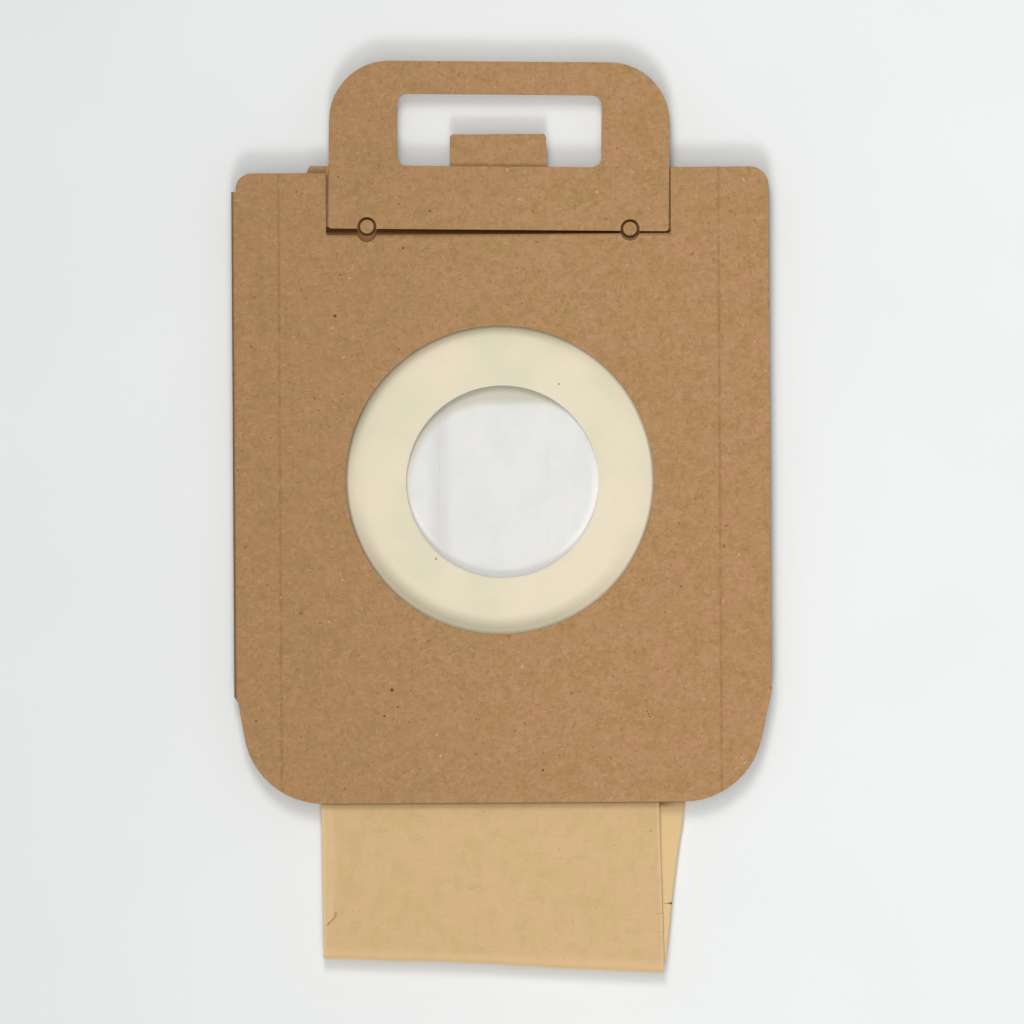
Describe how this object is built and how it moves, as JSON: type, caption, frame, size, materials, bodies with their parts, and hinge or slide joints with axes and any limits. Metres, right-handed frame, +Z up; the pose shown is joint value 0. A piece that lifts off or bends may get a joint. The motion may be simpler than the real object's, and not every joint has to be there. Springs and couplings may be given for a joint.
{
  "type": "vacuum dust bag",
  "caption": "Flat folded paper dust bag with a board collar, a rubber sealed round inlet and a lifting handle, lying inlet side up.",
  "frame": {"origin": "middle of the folded bag's box, at the surface that it lies on", "axes": "+Z up out of the inlet, +Y along the collar towards the handle, +X to the right seen from above"},
  "size_m": [0.1344, 0.2282, 0.0084],
  "materials": {
    "kraft_board": "matte",
    "seal_rubber": "satin",
    "bag_paper": "matte",
    "lining_paper": "matte"
  },
  "bodies": {
    "root": {"collar_board": "kraft_board", "lifting_handle": "kraft_board", "tack_disc_left": "kraft_board", "tack_disc_right": "kraft_board", "sealing_membrane": "seal_rubber", "paper_bag": "bag_paper", "bag_lining": "lining_paper"}
  },
  "joints": []
}
